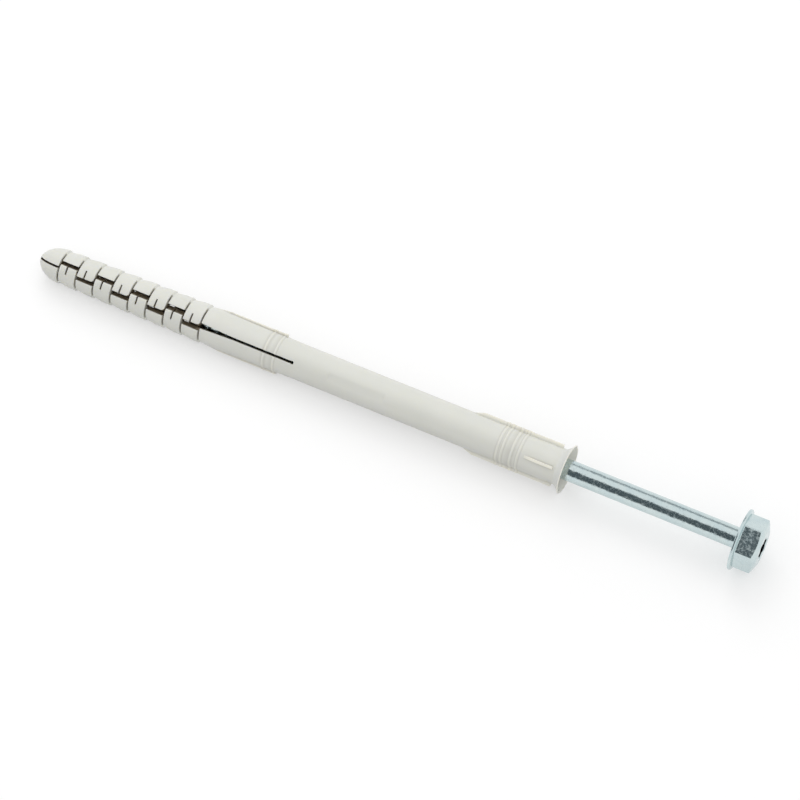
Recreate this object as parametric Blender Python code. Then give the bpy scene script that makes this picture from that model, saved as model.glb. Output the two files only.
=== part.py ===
"""A nylon frame fixing with its hexagon head screw started in the plug.

Sizes are in metres. Each piece is modelled in the fixing's own frame: X runs along the axis from
the plug's nose to the screw's head, Z points out of the side that carries the slot, and Y points
across it. An empty then lays the whole fixing down on its head flange and its nose.
"""

import math

import bmesh
import bpy
from mathutils import Matrix, Vector

# Plug: overall form
PLUG_LENGTH = 0.160
PLUG_DIAMETER = 0.010
NOSE_DIAMETER = 0.0098
FIRST_GROOVE = 0.0076
TOOTH_COUNT = 8
TOOTH_PITCH = 0.0055
TOOTH_RELIEF = 0.00045
RELIEF_RUN = 0.0030
GROOVE_WIDTH = 0.0004
GROOVE_FLOOR = 0.0021

# Plug: slit between the two halves, its tongues and the slot that follows
NOSE_BRIDGE = 0.0006
SLIT_WIDTH = 0.0006
SLIT_SHIFT = 0.0003
SPREAD_WIDTH = 0.0016
SLOT_WIDTH = 0.00075
SLOT_TAPER = 0.0100
SLOT_END = 0.0802
SLOT_EYE = 0.0010
LOWER_TONGUE_REACH = 0.0019
UPPER_TONGUE_REACH = 0.0010
UPPER_REACH_AT_SCREW = 0.0014
TONGUE_GAP = 0.00052
TONGUE_CORNER = 0.0008
NOTCH_WIDTH = 0.0005
NOTCH_DEPTH = 0.0021
NOTCH_PLACE = 0.0021

# Plug: bore and channel
BORE_CLEARANCE = 0.0002
CHANNEL_START = 0.0045
CHANNEL_START_DIAMETER = 0.0034
CHANNEL_DIAMETER = 0.0040
MOUTH_WALL = 0.0005
MOUTH_DEPTH = 0.0022
MOUTH_THROAT = 0.0094
SEAT_LENGTH = 0.0022

# Plug: collar, fins and ribs
COLLAR_DIAMETER = 0.0138
COLLAR_FLARE = 0.0024
FIN_THICKNESS = 0.0008
FIN_RAMP = 0.0030
FRONT_FIN_START = 0.0545
FRONT_FIN_LENGTH = 0.0205
FRONT_FIN_HEIGHT = 0.0007
LONG_RIB_LENGTH = 0.0262
LONG_RIB_HEIGHT = 0.0010
SHORT_RIB_LENGTH = 0.0083
SHORT_RIB_HEIGHT = 0.0006
RIB_TO_FLARE = 0.0006

# Screw
SCREW_LENGTH = 0.160
SCREW_STANDOUT = 0.0492
SHANK_DIAMETER = 0.0058
THREAD_DIAMETER = 0.0070
CORE_DIAMETER = 0.0050
THREAD_PITCH = 0.0030
THREAD_BASE = 0.0012
THREAD_TURNS = 24
POINT_LENGTH = 0.0045
POINT_DIAMETER = 0.0008
SHANK_SHOULDER = 0.0015
UNDERHEAD_FILLET = 0.0004
FLANGE_DIAMETER = 0.0170
FLANGE_EDGE = 0.0007
FLANGE_RISE = 0.0009
HEAD_HEIGHT = 0.0066
HEX_ACROSS_FLATS = 0.013
HEAD_FACE_DIAMETER = 0.0100
HEAD_CHAMFER_ANGLE = 22
RECESS_DIAMETER = 0.00665
RECESS_LOBE = 0.00047
RECESS_DEPTH = 0.0035
RECESS_LOBES = 6

# Rest pose: turn of each piece about the axis
PLUG_TURN = 41.25
SCREW_TURN = 28.25

# Fineness
PLUG_SIDES = 40
NOSE_RINGS = 6
FLARE_RINGS = 3
THREAD_SIDES = 14
FLANGE_SIDES = 48
RECESS_POINTS = 36
CORNER_POINTS = 4
STEP_RUN = 0.00006
SLIT_OVERLAP = 0.0002
OVERRUN = 0.001

# Sizes that follow from the ones above
PLUG_RADIUS = PLUG_DIAMETER / 2
NOSE_RADIUS = NOSE_DIAMETER / 2
COLLAR_RADIUS = COLLAR_DIAMETER / 2
LAST_GROOVE = FIRST_GROOVE + TOOTH_COUNT * TOOTH_PITCH
FLARE_START = PLUG_LENGTH - COLLAR_FLARE
RIB_END = FLARE_START - RIB_TO_FLARE
HEAD_SEAT = PLUG_LENGTH + SCREW_STANDOUT
SCREW_TIP = HEAD_SEAT - SCREW_LENGTH
POINT_END = SCREW_TIP + POINT_LENGTH
BORE_RADIUS = THREAD_DIAMETER / 2 + BORE_CLEARANCE
REACH_ALL = COLLAR_DIAMETER


def blend(x, start, end, low, high):
    """Straight run from low at start to high at end, level outside them."""
    share = min(1.0, max(0.0, (x - start) / (end - start)))
    return low + (high - low) * share


def slit_width(x):
    """Width of the slit at station x: it opens towards the screw's point and closes again behind it."""
    if x < LAST_GROOVE:
        return blend(x, FIRST_GROOVE, LAST_GROOVE, SLIT_WIDTH, SPREAD_WIDTH)
    return blend(x, LAST_GROOVE, LAST_GROOVE + SLOT_TAPER, SPREAD_WIDTH, SLOT_WIDTH)


def spread(x):
    """How far each half has been pushed out sideways at station x."""
    if x < LAST_GROOVE:
        return (slit_width(x) - SLIT_WIDTH) / 2
    return blend(x, LAST_GROOVE, SLOT_END, (SPREAD_WIDTH - SLIT_WIDTH) / 2, 0.0)


def body_radius(x):
    """Radius of the plug's round body at station x, without its teeth."""
    return blend(x, FIRST_GROOVE, LAST_GROOVE, NOSE_RADIUS, PLUG_RADIUS)


def new_object(name, mesh_builder):
    """Turn a bmesh into an object with closed, outward faces."""
    bmesh.ops.recalc_face_normals(mesh_builder, faces=mesh_builder.faces)
    mesh = bpy.data.meshes.new(name)
    mesh_builder.to_mesh(mesh)
    mesh_builder.free()
    made = bpy.data.objects.new(name, mesh)
    bpy.context.scene.collection.objects.link(made)
    return made


def ring(x, radius, sides, relief=0.0, widen=0.0):
    """Points round the axis at station x. Relief sinks the two flanks and widen pushes them out."""
    points = []
    for step in range(sides):
        angle = 2 * math.pi * step / sides
        flank = abs(math.sin(angle))
        across = (radius - relief * flank + widen) * math.sin(angle)
        points.append(Vector((x, across, (radius - relief * flank) * math.cos(angle))))
    return points


def loft(name, rings):
    """Closed skin over a row of rings, with a flat cap on the first and the last."""
    build = bmesh.new()
    rows = [[build.verts.new(point) for point in points] for points in rings]
    sides = len(rows[0])
    for row, following in zip(rows, rows[1:]):
        for step in range(sides):
            turn = (step + 1) % sides
            build.faces.new((row[step], row[turn], following[turn], following[step]))
    build.faces.new(rows[0])
    build.faces.new(rows[-1])
    return new_object(name, build)


def add_prism(build, outline, low, high, place):
    """Straight solid over a closed outline; place(u, v, w) gives a point, with w from low to high."""
    lower = [build.verts.new(place(u, v, low)) for u, v in outline]
    upper = [build.verts.new(place(u, v, high)) for u, v in outline]
    count = len(outline)
    for step in range(count):
        turn = (step + 1) % count
        build.faces.new((lower[step], lower[turn], upper[turn], upper[step]))
    build.faces.new(lower)
    build.faces.new(upper)


def join_by(target, helper, operation, solver="EXACT"):
    """Cut the helper from the target, or unite or intersect them, and keep the helper as a guide."""
    modifier = target.modifiers.new(helper.name, "BOOLEAN")
    modifier.object = helper
    modifier.operation = operation
    modifier.solver = solver
    helper.parent = target
    helper.hide_render = True
    helper.display_type = "WIRE"


def finish(made, name, colour, roughness, metallic):
    """Give a piece its material and round shading that stops at its edges."""
    material = bpy.data.materials.new(name)
    material.use_nodes = True
    shader = material.node_tree.nodes["Principled BSDF"]
    shader.inputs["Base Color"].default_value = (*colour, 1.0)
    shader.inputs["Roughness"].default_value = roughness
    shader.inputs["Metallic"].default_value = metallic
    made.data.materials.append(material)
    made.data.shade_smooth()
    made.data.set_sharp_from_angle(angle=math.radians(35))


def groove_place(index):
    """Station of a groove, counted from 0 at the nose."""
    return FIRST_GROOVE + index * TOOTH_PITCH


def plug_skin():
    """Rings of the plug: up its outside from the nose to the collar, then back down the bore."""
    rings = []
    for step in range(1, NOSE_RINGS + 1):
        swing = math.pi / 2 * (step - 0.6) / (NOSE_RINGS - 0.6)
        station = FIRST_GROOVE * (1 - math.cos(swing)) - (STEP_RUN if step == NOSE_RINGS else 0.0)
        rings.append(ring(station, NOSE_RADIUS * math.sin(swing), PLUG_SIDES))
    for index in range(TOOTH_COUNT + 1):
        groove = groove_place(index)
        if index:
            station = groove - STEP_RUN
            rings.append(ring(station, body_radius(station), PLUG_SIDES, 0.0, spread(station)))
        for station, relief in ((groove + STEP_RUN, TOOTH_RELIEF), (groove + RELIEF_RUN, 0.0)):
            rings.append(ring(station, body_radius(station), PLUG_SIDES, relief, spread(station)))
    for station in (LAST_GROOVE + SLOT_TAPER, SLOT_END, FLARE_START):
        rings.append(ring(station, PLUG_RADIUS, PLUG_SIDES, 0.0, spread(station)))
    for step in range(1, FLARE_RINGS + 1):
        share = step / FLARE_RINGS
        radius = PLUG_RADIUS + (COLLAR_RADIUS - PLUG_RADIUS) * share ** 1.5
        rings.append(ring(FLARE_START + COLLAR_FLARE * share, radius, PLUG_SIDES))
    throat = PLUG_LENGTH - MOUTH_DEPTH
    inside = (
        (PLUG_LENGTH, COLLAR_RADIUS - MOUTH_WALL),
        (throat, MOUTH_THROAT / 2),
        (throat - SEAT_LENGTH, BORE_RADIUS),
        (POINT_END, BORE_RADIUS),
        (SCREW_TIP, CHANNEL_DIAMETER / 2),
        (CHANNEL_START, CHANNEL_START_DIAMETER / 2),
    )
    for station, radius in inside:
        rings.append(ring(station, radius, PLUG_SIDES))
    return rings


def slit_outline():
    """Outline of the slit in X and Y: down one half's edge, round the slot's eye and back up the other.

    The slit swings to +Y beside an odd tooth and to -Y beside an even one, so each half carries a
    row of tongues that reach between those of the other. Each tongue has one narrow notch. The lower
    half's tongues reach further, and at the nose the slit lies a little towards the upper half.
    """
    middle = SLIT_SHIFT
    upper = [(NOSE_BRIDGE, middle + SLIT_WIDTH / 2)]
    lower = [(NOSE_BRIDGE, middle - SLIT_WIDTH / 2)]
    for index in range(TOOTH_COUNT + 1):
        groove = groove_place(index)
        half = slit_width(groove) / 2
        if index == TOOTH_COUNT:
            following = 0.0
        elif index % 2 == 0:
            following = LOWER_TONGUE_REACH
        else:
            following = -blend(
                groove, FIRST_GROOVE, LAST_GROOVE, UPPER_TONGUE_REACH, UPPER_REACH_AT_SCREW
            )
        rises = following > middle
        upper_x = groove + (-TONGUE_GAP / 2 if rises else TONGUE_GAP / 2)
        lower_x = groove + (TONGUE_GAP / 2 if rises else -TONGUE_GAP / 2)
        if rises and index:
            for step in range(CORNER_POINTS + 1):
                swing = math.pi / 2 * step / CORNER_POINTS
                upper.append(
                    (
                        upper_x - TONGUE_CORNER * (1 - math.sin(swing)),
                        middle + half + TONGUE_CORNER * (1 - math.cos(swing)),
                    )
                )
        else:
            upper.append((upper_x, middle + half))
        upper.append((upper_x, following + half))
        lower.append((lower_x, middle - half))
        lower.append((lower_x, following - half))
        middle = following
        if index == TOOTH_COUNT:
            break
        notch = groove + NOTCH_PLACE
        edge, side = (lower, -1) if middle > 0 else (upper, 1)
        half = slit_width(notch) / 2
        rim = middle + side * half
        floor = rim + side * NOTCH_DEPTH
        edge.append((notch - NOTCH_WIDTH / 2, rim))
        edge.append((notch - NOTCH_WIDTH / 2, floor))
        edge.append((notch + NOTCH_WIDTH / 2, floor))
        edge.append((notch + NOTCH_WIDTH / 2, rim))
    taper_end = LAST_GROOVE + SLOT_TAPER
    eye = SLOT_EYE / 2
    opening = math.asin(min(1.0, SLOT_WIDTH / SLOT_EYE))
    upper.append((taper_end, SLOT_WIDTH / 2))
    lower.append((taper_end, -SLOT_WIDTH / 2))
    round_end = []
    for step in range(2 * CORNER_POINTS + 1):
        swing = math.pi - opening - (2 * math.pi - 2 * opening) * step / (2 * CORNER_POINTS)
        round_end.append((SLOT_END - eye + eye * math.cos(swing), eye * math.sin(swing)))
    return upper + round_end + lower[::-1]


def slit_cutter(name, side):
    """The slit from one face of the plug into its channel. The back has the front's slit turned over,
    so that a tongue on one face lies behind a gap on the other."""
    build = bmesh.new()
    outline = [(u, side * v) for u, v in slit_outline()]
    low, high = sorted((-side * SLIT_OVERLAP, side * REACH_ALL))
    add_prism(build, outline, low, high, lambda u, v, w: Vector((u, v, w)))
    return new_object(name, build)


def groove_cutter():
    """A pair of slots at each groove, let in from the front and the back down to a flat floor."""
    build = bmesh.new()
    for index in range(TOOTH_COUNT + 1):
        start = groove_place(index) - GROOVE_WIDTH / 2
        end = start + GROOVE_WIDTH
        for side in (1, -1):
            outline = (
                (start, side * GROOVE_FLOOR),
                (end, side * GROOVE_FLOOR),
                (end, side * REACH_ALL),
                (start, side * REACH_ALL),
            )
            add_prism(build, outline, -REACH_ALL, REACH_ALL, lambda u, v, w: Vector((u, w, v)))
    return new_object("groove_cutter", build)


def fin(name, start, end, root, top, turn):
    """A thin fin along the plug with a ramp at its nose end, turned about the axis into place."""
    outline = (
        (start, root),
        (end, root),
        (end, top),
        (start + FIN_RAMP, top),
        (start, min(top, root + OVERRUN)),
    )
    build = bmesh.new()
    half = FIN_THICKNESS / 2
    add_prism(build, outline, -half, half, lambda u, v, w: Vector((u, w, v)))
    bmesh.ops.rotate(build, verts=build.verts, matrix=Matrix.Rotation(turn, 3, "X"))
    return new_object(name, build)


def make_plug():
    plug = loft("plug_sleeve", plug_skin())
    root = PLUG_RADIUS - OVERRUN
    quarter = math.pi / 2
    front_end = FRONT_FIN_START + FRONT_FIN_LENGTH
    for side in (1, -1):
        label = "left" if side > 0 else "right"
        sunk = root + spread(FRONT_FIN_START)
        high = PLUG_RADIUS + spread(front_end) + FRONT_FIN_HEIGHT
        fins = (
            fin("front_fin_" + label, FRONT_FIN_START, front_end, root, high, side * quarter),
            fin("long_rib_" + label, RIB_END - LONG_RIB_LENGTH, RIB_END, root,
                PLUG_RADIUS + LONG_RIB_HEIGHT, side * quarter),
            fin("short_rib_" + label, RIB_END - SHORT_RIB_LENGTH, RIB_END, root,
                PLUG_RADIUS + SHORT_RIB_HEIGHT, quarter + side * quarter),
        )
        for made in fins:
            join_by(plug, made, "UNION")
    join_by(plug, groove_cutter(), "DIFFERENCE")
    join_by(plug, slit_cutter("front_slit_cutter", 1), "DIFFERENCE", "MANIFOLD")
    join_by(plug, slit_cutter("back_slit_cutter", -1), "DIFFERENCE", "MANIFOLD")
    finish(plug, "nylon_off_white", (0.70, 0.69, 0.64), 0.45, 0.0)
    return plug


def core_radius(x):
    """Radius of the screw's core, which tapers to the point."""
    return blend(x, SCREW_TIP, POINT_END, POINT_DIAMETER / 2, CORE_DIAMETER / 2)


def threaded_shank():
    """Point, thread and plain shank as one skin.

    The thread is one strip that winds round the core. Its rows are the near foot, the crest and the
    far foot of the thread, and each turn's last row is the next turn's first.
    """
    build = bmesh.new()
    sides = THREAD_SIDES
    steps = THREAD_TURNS * sides
    start = SCREW_TIP + THREAD_PITCH / 4
    height = (THREAD_DIAMETER - CORE_DIAMETER) / 2

    def thread_point(step, along, share):
        angle = 2 * math.pi * step / sides
        x = start + THREAD_PITCH * step / sides + along
        ramp = min(1.0, step / sides, (steps - step) / sides)
        radius = core_radius(x) + share * height * max(0.0, ramp)
        return build.verts.new((x, radius * math.sin(angle), radius * math.cos(angle)))

    near = [thread_point(step, 0.0, 0.0) for step in range(steps + sides + 1)]
    crest = [thread_point(step, THREAD_BASE / 2, 1.0) for step in range(steps + 1)]
    far = [thread_point(step, THREAD_BASE, 0.0) for step in range(steps + 1)]
    for step in range(steps):
        build.faces.new((near[step], near[step + 1], crest[step + 1], crest[step]))
        build.faces.new((crest[step], crest[step + 1], far[step + 1], far[step]))
        turn = step + sides
        build.faces.new((far[step], far[step + 1], near[turn + 1], near[turn]))

    tip = [build.verts.new(point) for point in ring(SCREW_TIP, POINT_DIAMETER / 2, sides)]
    for step in range(sides - 1):
        build.faces.new((tip[step], tip[step + 1], near[step + 1], near[step]))
    build.faces.new((tip[-1], tip[0], near[0], crest[0], far[0], near[sides], near[sides - 1]))
    build.faces.new(tip)

    shank_start = start + THREAD_PITCH * (THREAD_TURNS + 1) + SHANK_SHOULDER
    underside = HEAD_SEAT - UNDERHEAD_FILLET
    flare = SHANK_DIAMETER / 2 + UNDERHEAD_FILLET
    rows = []
    for station, radius in (
        (shank_start, SHANK_DIAMETER / 2),
        (underside, SHANK_DIAMETER / 2),
        (HEAD_SEAT, flare),
        (HEAD_SEAT + FLANGE_RISE / 2, flare),
    ):
        rows.append([build.verts.new(point) for point in ring(station, radius, 2 * sides)])
    first = rows[0]
    last_turn = near[steps:]
    for step in range(1, sides):
        join = 2 * step
        build.faces.new(
            (last_turn[step], last_turn[step + 1], first[(join + 2) % (2 * sides)],
             first[join + 1], first[join])
        )
    build.faces.new(
        (near[steps], last_turn[1], first[2], first[1], first[0], last_turn[sides],
         far[steps], crest[steps])
    )
    for row, following in zip(rows, rows[1:]):
        for step in range(2 * sides):
            turn = (step + 1) % (2 * sides)
            build.faces.new((row[step], row[turn], following[turn], following[step]))
    build.faces.new(rows[-1])
    return new_object("screw", build)


def flange():
    """Round flange under the hexagon, with a sloping top that rises to meet it."""
    edge = FLANGE_DIAMETER / 2
    hex_corner = HEX_ACROSS_FLATS / math.sqrt(3)
    rounding = FLANGE_EDGE / 4
    profile = (
        (HEAD_SEAT, edge - rounding),
        (HEAD_SEAT + rounding, edge),
        (HEAD_SEAT + FLANGE_EDGE - rounding, edge),
        (HEAD_SEAT + FLANGE_EDGE, edge - rounding),
        (HEAD_SEAT + FLANGE_RISE, hex_corner - rounding),
    )
    return loft("flange", [ring(x, radius, FLANGE_SIDES) for x, radius in profile])


def hexagon():
    """Hexagon from inside the flange to the end of the head, with one flat facing Z."""
    corner = HEX_ACROSS_FLATS / math.sqrt(3)
    outline = []
    for step in range(6):
        angle = math.radians(30 + 60 * step)
        outline.append((corner * math.sin(angle), corner * math.cos(angle)))
    build = bmesh.new()
    low = HEAD_SEAT + FLANGE_EDGE / 2
    add_prism(build, outline, low, HEAD_SEAT + HEAD_HEIGHT, lambda u, v, w: Vector((w, u, v)))
    return new_object("hexagon", build)


def chamfer_form():
    """Cone that rounds the hexagon's outer corners, and inside whose reach the head is left."""
    top = HEAD_SEAT + HEAD_HEIGHT
    face = HEAD_FACE_DIAMETER / 2
    slope = math.tan(math.radians(HEAD_CHAMFER_ANGLE))
    drop = HEAD_HEIGHT + OVERRUN
    wide = face + drop / slope
    rings = (
        ring(top - drop, wide, FLANGE_SIDES),
        ring(top, face, FLANGE_SIDES),
    )
    return loft("chamfer_form", rings)


def recess_cutter():
    """Six-lobed socket in the end of the head; its outline's radius follows a cosine."""
    middle = RECESS_DIAMETER / 2 - RECESS_LOBE
    outline = []
    for step in range(RECESS_POINTS):
        angle = 2 * math.pi * step / RECESS_POINTS
        radius = middle + RECESS_LOBE * math.cos(RECESS_LOBES * angle)
        outline.append((radius * math.sin(angle), radius * math.cos(angle)))
    build = bmesh.new()
    top = HEAD_SEAT + HEAD_HEIGHT
    add_prism(build, outline, top - RECESS_DEPTH, top + OVERRUN, lambda u, v, w: Vector((w, u, v)))
    return new_object("recess_cutter", build)


def make_screw():
    screw = threaded_shank()
    head = hexagon()
    join_by(head, chamfer_form(), "INTERSECT")
    join_by(screw, flange(), "UNION")
    join_by(screw, head, "UNION")
    join_by(screw, recess_cutter(), "DIFFERENCE")
    finish(screw, "zinc_plated_steel", (0.66, 0.71, 0.73), 0.25, 1.0)
    return screw


def lowest_tilt():
    """Angle at which the line under the nose and under the flange lies level."""
    rise = FLANGE_DIAMETER / 2 - NOSE_RADIUS
    return math.atan2(rise, HEAD_SEAT - FIRST_GROOVE)


def lay_down(pieces):
    """Hang the pieces on an empty and rest them, centred, on the ground plane."""
    holder = bpy.data.objects.new("fixing", None)
    bpy.context.scene.collection.objects.link(holder)
    holder.rotation_euler.y = -lowest_tilt()
    for piece, turn in pieces:
        piece.parent = holder
        piece.rotation_euler.x = math.radians(turn)
    bpy.context.view_layer.update()
    graph = bpy.context.evaluated_depsgraph_get()
    corners = []
    for piece, _ in pieces:
        solid = piece.evaluated_get(graph)
        corners += [solid.matrix_world @ vertex.co for vertex in solid.data.vertices]
    low = [min(corner[axis] for corner in corners) for axis in range(3)]
    high = [max(corner[axis] for corner in corners) for axis in range(3)]
    holder.location = (-(low[0] + high[0]) / 2, -(low[1] + high[1]) / 2, -low[2])


def main():
    for old in list(bpy.data.objects):
        bpy.data.objects.remove(old)
    lay_down(((make_plug(), PLUG_TURN), (make_screw(), SCREW_TURN)))
    bpy.context.view_layer.update()


main()
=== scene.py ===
"""Visual model of a nylon frame fixing with its hexagon head screw, laid out as a Blender add-on.

Each piece is a numpy surface in the fixing's own frame: X runs along the axis from the plug's nose
to the screw's head, Z points out of the side that carries the slot, and Y points across it. It is
then turned about the axis and laid down on the screw's flange and the plug's nose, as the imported
solids are. Sizes are in metres.
"""

import math

import bmesh
import bpy
import numpy as np
from bpy.props import FloatProperty, FloatVectorProperty, IntProperty, PointerProperty
from bpy.types import Operator, Panel, PropertyGroup
from mathutils import Matrix, Vector


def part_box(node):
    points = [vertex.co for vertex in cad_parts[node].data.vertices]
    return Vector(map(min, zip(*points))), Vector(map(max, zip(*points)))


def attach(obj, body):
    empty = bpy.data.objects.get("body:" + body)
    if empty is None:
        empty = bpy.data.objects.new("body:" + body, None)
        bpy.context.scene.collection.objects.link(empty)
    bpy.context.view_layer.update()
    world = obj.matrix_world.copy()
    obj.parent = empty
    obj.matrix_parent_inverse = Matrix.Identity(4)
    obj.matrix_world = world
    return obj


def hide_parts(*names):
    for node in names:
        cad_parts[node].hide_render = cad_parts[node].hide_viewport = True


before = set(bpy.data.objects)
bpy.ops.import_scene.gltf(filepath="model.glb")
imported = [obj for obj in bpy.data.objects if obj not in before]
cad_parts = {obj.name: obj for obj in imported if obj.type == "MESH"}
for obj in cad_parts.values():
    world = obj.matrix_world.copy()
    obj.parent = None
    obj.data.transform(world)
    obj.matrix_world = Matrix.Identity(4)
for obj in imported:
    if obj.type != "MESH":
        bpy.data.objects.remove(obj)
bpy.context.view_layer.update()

bl_info = {
    "name": "Frame Fixing",
    "version": (1, 0, 0),
    "blender": (4, 5, 0),
    "location": "View3D > Sidebar > Fixing",
    "description": "Builds the plug and the screw over the packed solids and sets them in a studio",
    "category": "Object",
}

# Plug: overall form
PLUG_LENGTH = 0.160
PLUG_RADIUS = 0.0050
NOSE_RADIUS = 0.0049
NOSE_START = 0.00005
FIRST_GROOVE = 0.0076
TOOTH_COUNT = 8
TOOTH_PITCH = 0.0055
TOOTH_RELIEF = 0.00045
RELIEF_RUN = 0.0030
GROOVE_WIDTH = 0.00048
GROOVE_FLOOR = 0.0021

# Plug: slit between the halves, its tongues and notches, and the slot that follows
NOSE_BRIDGE = 0.0006
SLIT_WIDTH = 0.0006
TOOTH_GAP = 0.0010
SLIT_DRAFT = 0.36
NOSE_GAP = 0.00005
SLIT_SHIFT = 0.0003
SPREAD_WIDTH = 0.0016
SLOT_WIDTH = 0.00075
SLOT_TAPER = 0.0100
SLOT_END = 0.0802
SLOT_EYE = 0.0010
LOWER_TONGUE_REACH = 0.0018
LOWER_REACH_AT_SCREW = 0.0015
UPPER_TONGUE_REACH = 0.0006
UPPER_REACH_AT_SCREW = 0.0008
TONGUE_CORNER = 0.0008
NOTCH_WIDTH = 0.0005
NOTCH_DEPTH = 0.0023
NOTCH_PLACE = 0.0024
NOTCH_FLOOR = 0.5
NOTCH_FLOOR_RUN = 0.3

# Plug: channel, bore and mouth
CHANNEL_START = 0.0045
CHANNEL_START_RADIUS = 0.0017
CHANNEL_RADIUS = 0.0020
BORE_RADIUS = 0.0037
MOUTH_WALL = 0.0005
MOUTH_DEPTH = 0.0022
MOUTH_THROAT_RADIUS = 0.0047
SEAT_LENGTH = 0.0022

# Plug: collar, fins, ribs and the faint marks of its mould
COLLAR_RADIUS = 0.0069
COLLAR_FLARE = 0.0024
FLARE_POWER = 1.5
FIN_THICKNESS = 0.0008
FIN_RAMP = 0.0030
FRONT_FIN_START = 0.0545
FRONT_FIN_LENGTH = 0.0205
FRONT_FIN_HEIGHT = 0.0007
LONG_RIB_LENGTH = 0.0262
LONG_RIB_HEIGHT = 0.0010
SHORT_RIB_LENGTH = 0.0083
SHORT_RIB_HEIGHT = 0.0006
SHORT_RIB_START = 0.3
RIB_TO_FLARE = 0.0006
FIELD_START = 0.0903
FIELD_LENGTH = 0.0170
MARK_PLACES = (0.0713, 0.0743, 0.1410, 0.1423, 0.1450, 0.1469)
MARK_WIDTH = 0.00022

# Screw
SCREW_LENGTH = 0.160
SCREW_STANDOUT = 0.0492
SHANK_RADIUS = 0.0029
THREAD_RADIUS = 0.0035
CORE_RADIUS = 0.0025
THREAD_PITCH = 0.0030
THREAD_BASE = 0.0012
THREAD_TURNS = 24
THREAD_LEAD_IN = 0.25
THREAD_KNEE_REACH = 0.55
THREAD_KNEE_HEIGHT = 0.4
POINT_LENGTH = 0.0045
POINT_RADIUS = 0.0004
SHANK_SHOULDER = 0.0015
UNDERHEAD_FILLET = 0.0004
FLANGE_RADIUS = 0.0085
FLANGE_EDGE = 0.0007
FLANGE_RISE = 0.0009
HEAD_HEIGHT = 0.0066
HEX_ACROSS_FLATS = 0.013
HEAD_FACE_RADIUS = 0.0050
HEAD_CHAMFER_ANGLE = 22
HEAD_EDGE = 0.0002
RECESS_RADIUS = 0.003325
RECESS_LOBE = 0.00047
RECESS_DEPTH = 0.0035
RECESS_LOBES = 6
RECESS_FLOOR_SHARE = 0.4

# Rest pose: turn of each piece about the axis, in degrees
PLUG_TURN = 41.25
SCREW_TURN = 28.25

# How finely steps, arcs and edges are drawn
STEP_RUN = 0.00008
STEP_SHARES = np.array((-0.5, -0.2, 0.2, 0.5))
FIELD_RUN = 4 * STEP_RUN
TOOTHED_STATION_GAP = 0.0012
BARREL_STATION_GAP = 0.0015
WALL_SHARES = (0.1, 0.35, 0.7, 1.0)
EDGE_SHARES = np.array((0.4, 1.0))
FACE_SHARES = np.linspace(0.25, 0.85, 5)
FACE_SHARE_AT_EDGE = 0.06
MARK_SPAN = 2
NOSE_RINGS = 7
LIP_RINGS = 9
FLARE_RINGS = 9
EYE_STATIONS = 14
SHANK_RINGS = 30
FLAT_POINTS = 17
ARC_SPLIT = 35
FIN_EDGE = 0.5
SHARP_ANGLE = 32
MERGE_DISTANCE = 2e-7

# Painted shade and painted light: the depth at which a gap's painted shade is full, shares of the
# colour of painted shade or of painted light, and the shade from which a crest gets no painted
# highlight
HOLLOW_DEPTH = 0.0009
SUNK_LIMIT = 0.1
FOOT_SHADE = 0.3
LONG_RIB_FOOT_SHADE = 0.2
RING_FOOT_SHADE = 0.6
RING_CREST_HIGHLIGHT = 0.3
MOUTH_PAINTED_LIGHT = 0.6
MOUTH_SHADE = 0.3

# Patterns of the finishes: length of the nylon's clouds, patches of the zinc's film, and how deep
# the mould's grain and the zinc's dents and crystals are drawn
CLOUD_LENGTH = 0.012
FILM_PATCH = 0.0033
GRAIN_DEPTH = 0.00004
ZINC_DEPTH = 0.0001

# Camera of the photograph, aimed at a point over the middle of the fixing
CAMERA_AZIMUTH = 25.876
CAMERA_ELEVATION = 58.449
CAMERA_DISTANCE = 0.86487
CAMERA_AIM_RIGHT = 0.00231
CAMERA_AIM_UP = -0.00208
CAMERA_AIM_HEIGHT = 0.010
CAMERA_LENS = 145.03

# Cards that the smooth steel mirrors, seen from the middle of the screw's shank
CARD_MIDDLE = (0.08, 0.0, 0.01)
CARD_AWAY = 0.5
CARD_TURN = -0.2511
BLACK_CARD_LEAN = 49.5
GREY_CARD_LEAN = -52.0

# Lamp and paper
WINDOW_PLACE = (-0.40, 0.62, 0.76)
PAPER_LEVEL = -0.00002
PAPER_REACH = 3.0

# Sizes that follow from the ones above
LAST_GROOVE = FIRST_GROOVE + TOOTH_COUNT * TOOTH_PITCH
FLARE_START = PLUG_LENGTH - COLLAR_FLARE
RIB_END = FLARE_START - RIB_TO_FLARE
HEAD_SEAT = PLUG_LENGTH + SCREW_STANDOUT
HEAD_END = HEAD_SEAT + HEAD_HEIGHT
SCREW_TIP = HEAD_SEAT - SCREW_LENGTH
POINT_END = SCREW_TIP + POINT_LENGTH
GROOVES = FIRST_GROOVE + TOOTH_PITCH * np.arange(TOOTH_COUNT + 1)


def linear(code):
    """Linear red, green and blue from a colour written as sRGB hex: ((c + 0.055) / 1.055) ^ 2.4."""
    parts = [int(code[index : index + 2], 16) / 255 for index in (1, 3, 5)]
    return [c / 12.92 if c <= 0.04045 else ((c + 0.055) / 1.055) ** 2.4 for c in parts] + [1.0]


def length(name, description, default):
    """Length property in metres, small enough for the edges and marks of this part."""
    return FloatProperty(
        name=name,
        description=description,
        default=default,
        min=0.0,
        precision=5,
        subtype="DISTANCE",
        unit="LENGTH",
    )


def colour(name, description, code):
    """Colour property whose default is written as sRGB hex."""
    return FloatVectorProperty(
        name=name,
        description=description,
        default=linear(code),
        size=4,
        min=0.0,
        max=1.0,
        subtype="COLOR",
    )


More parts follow.
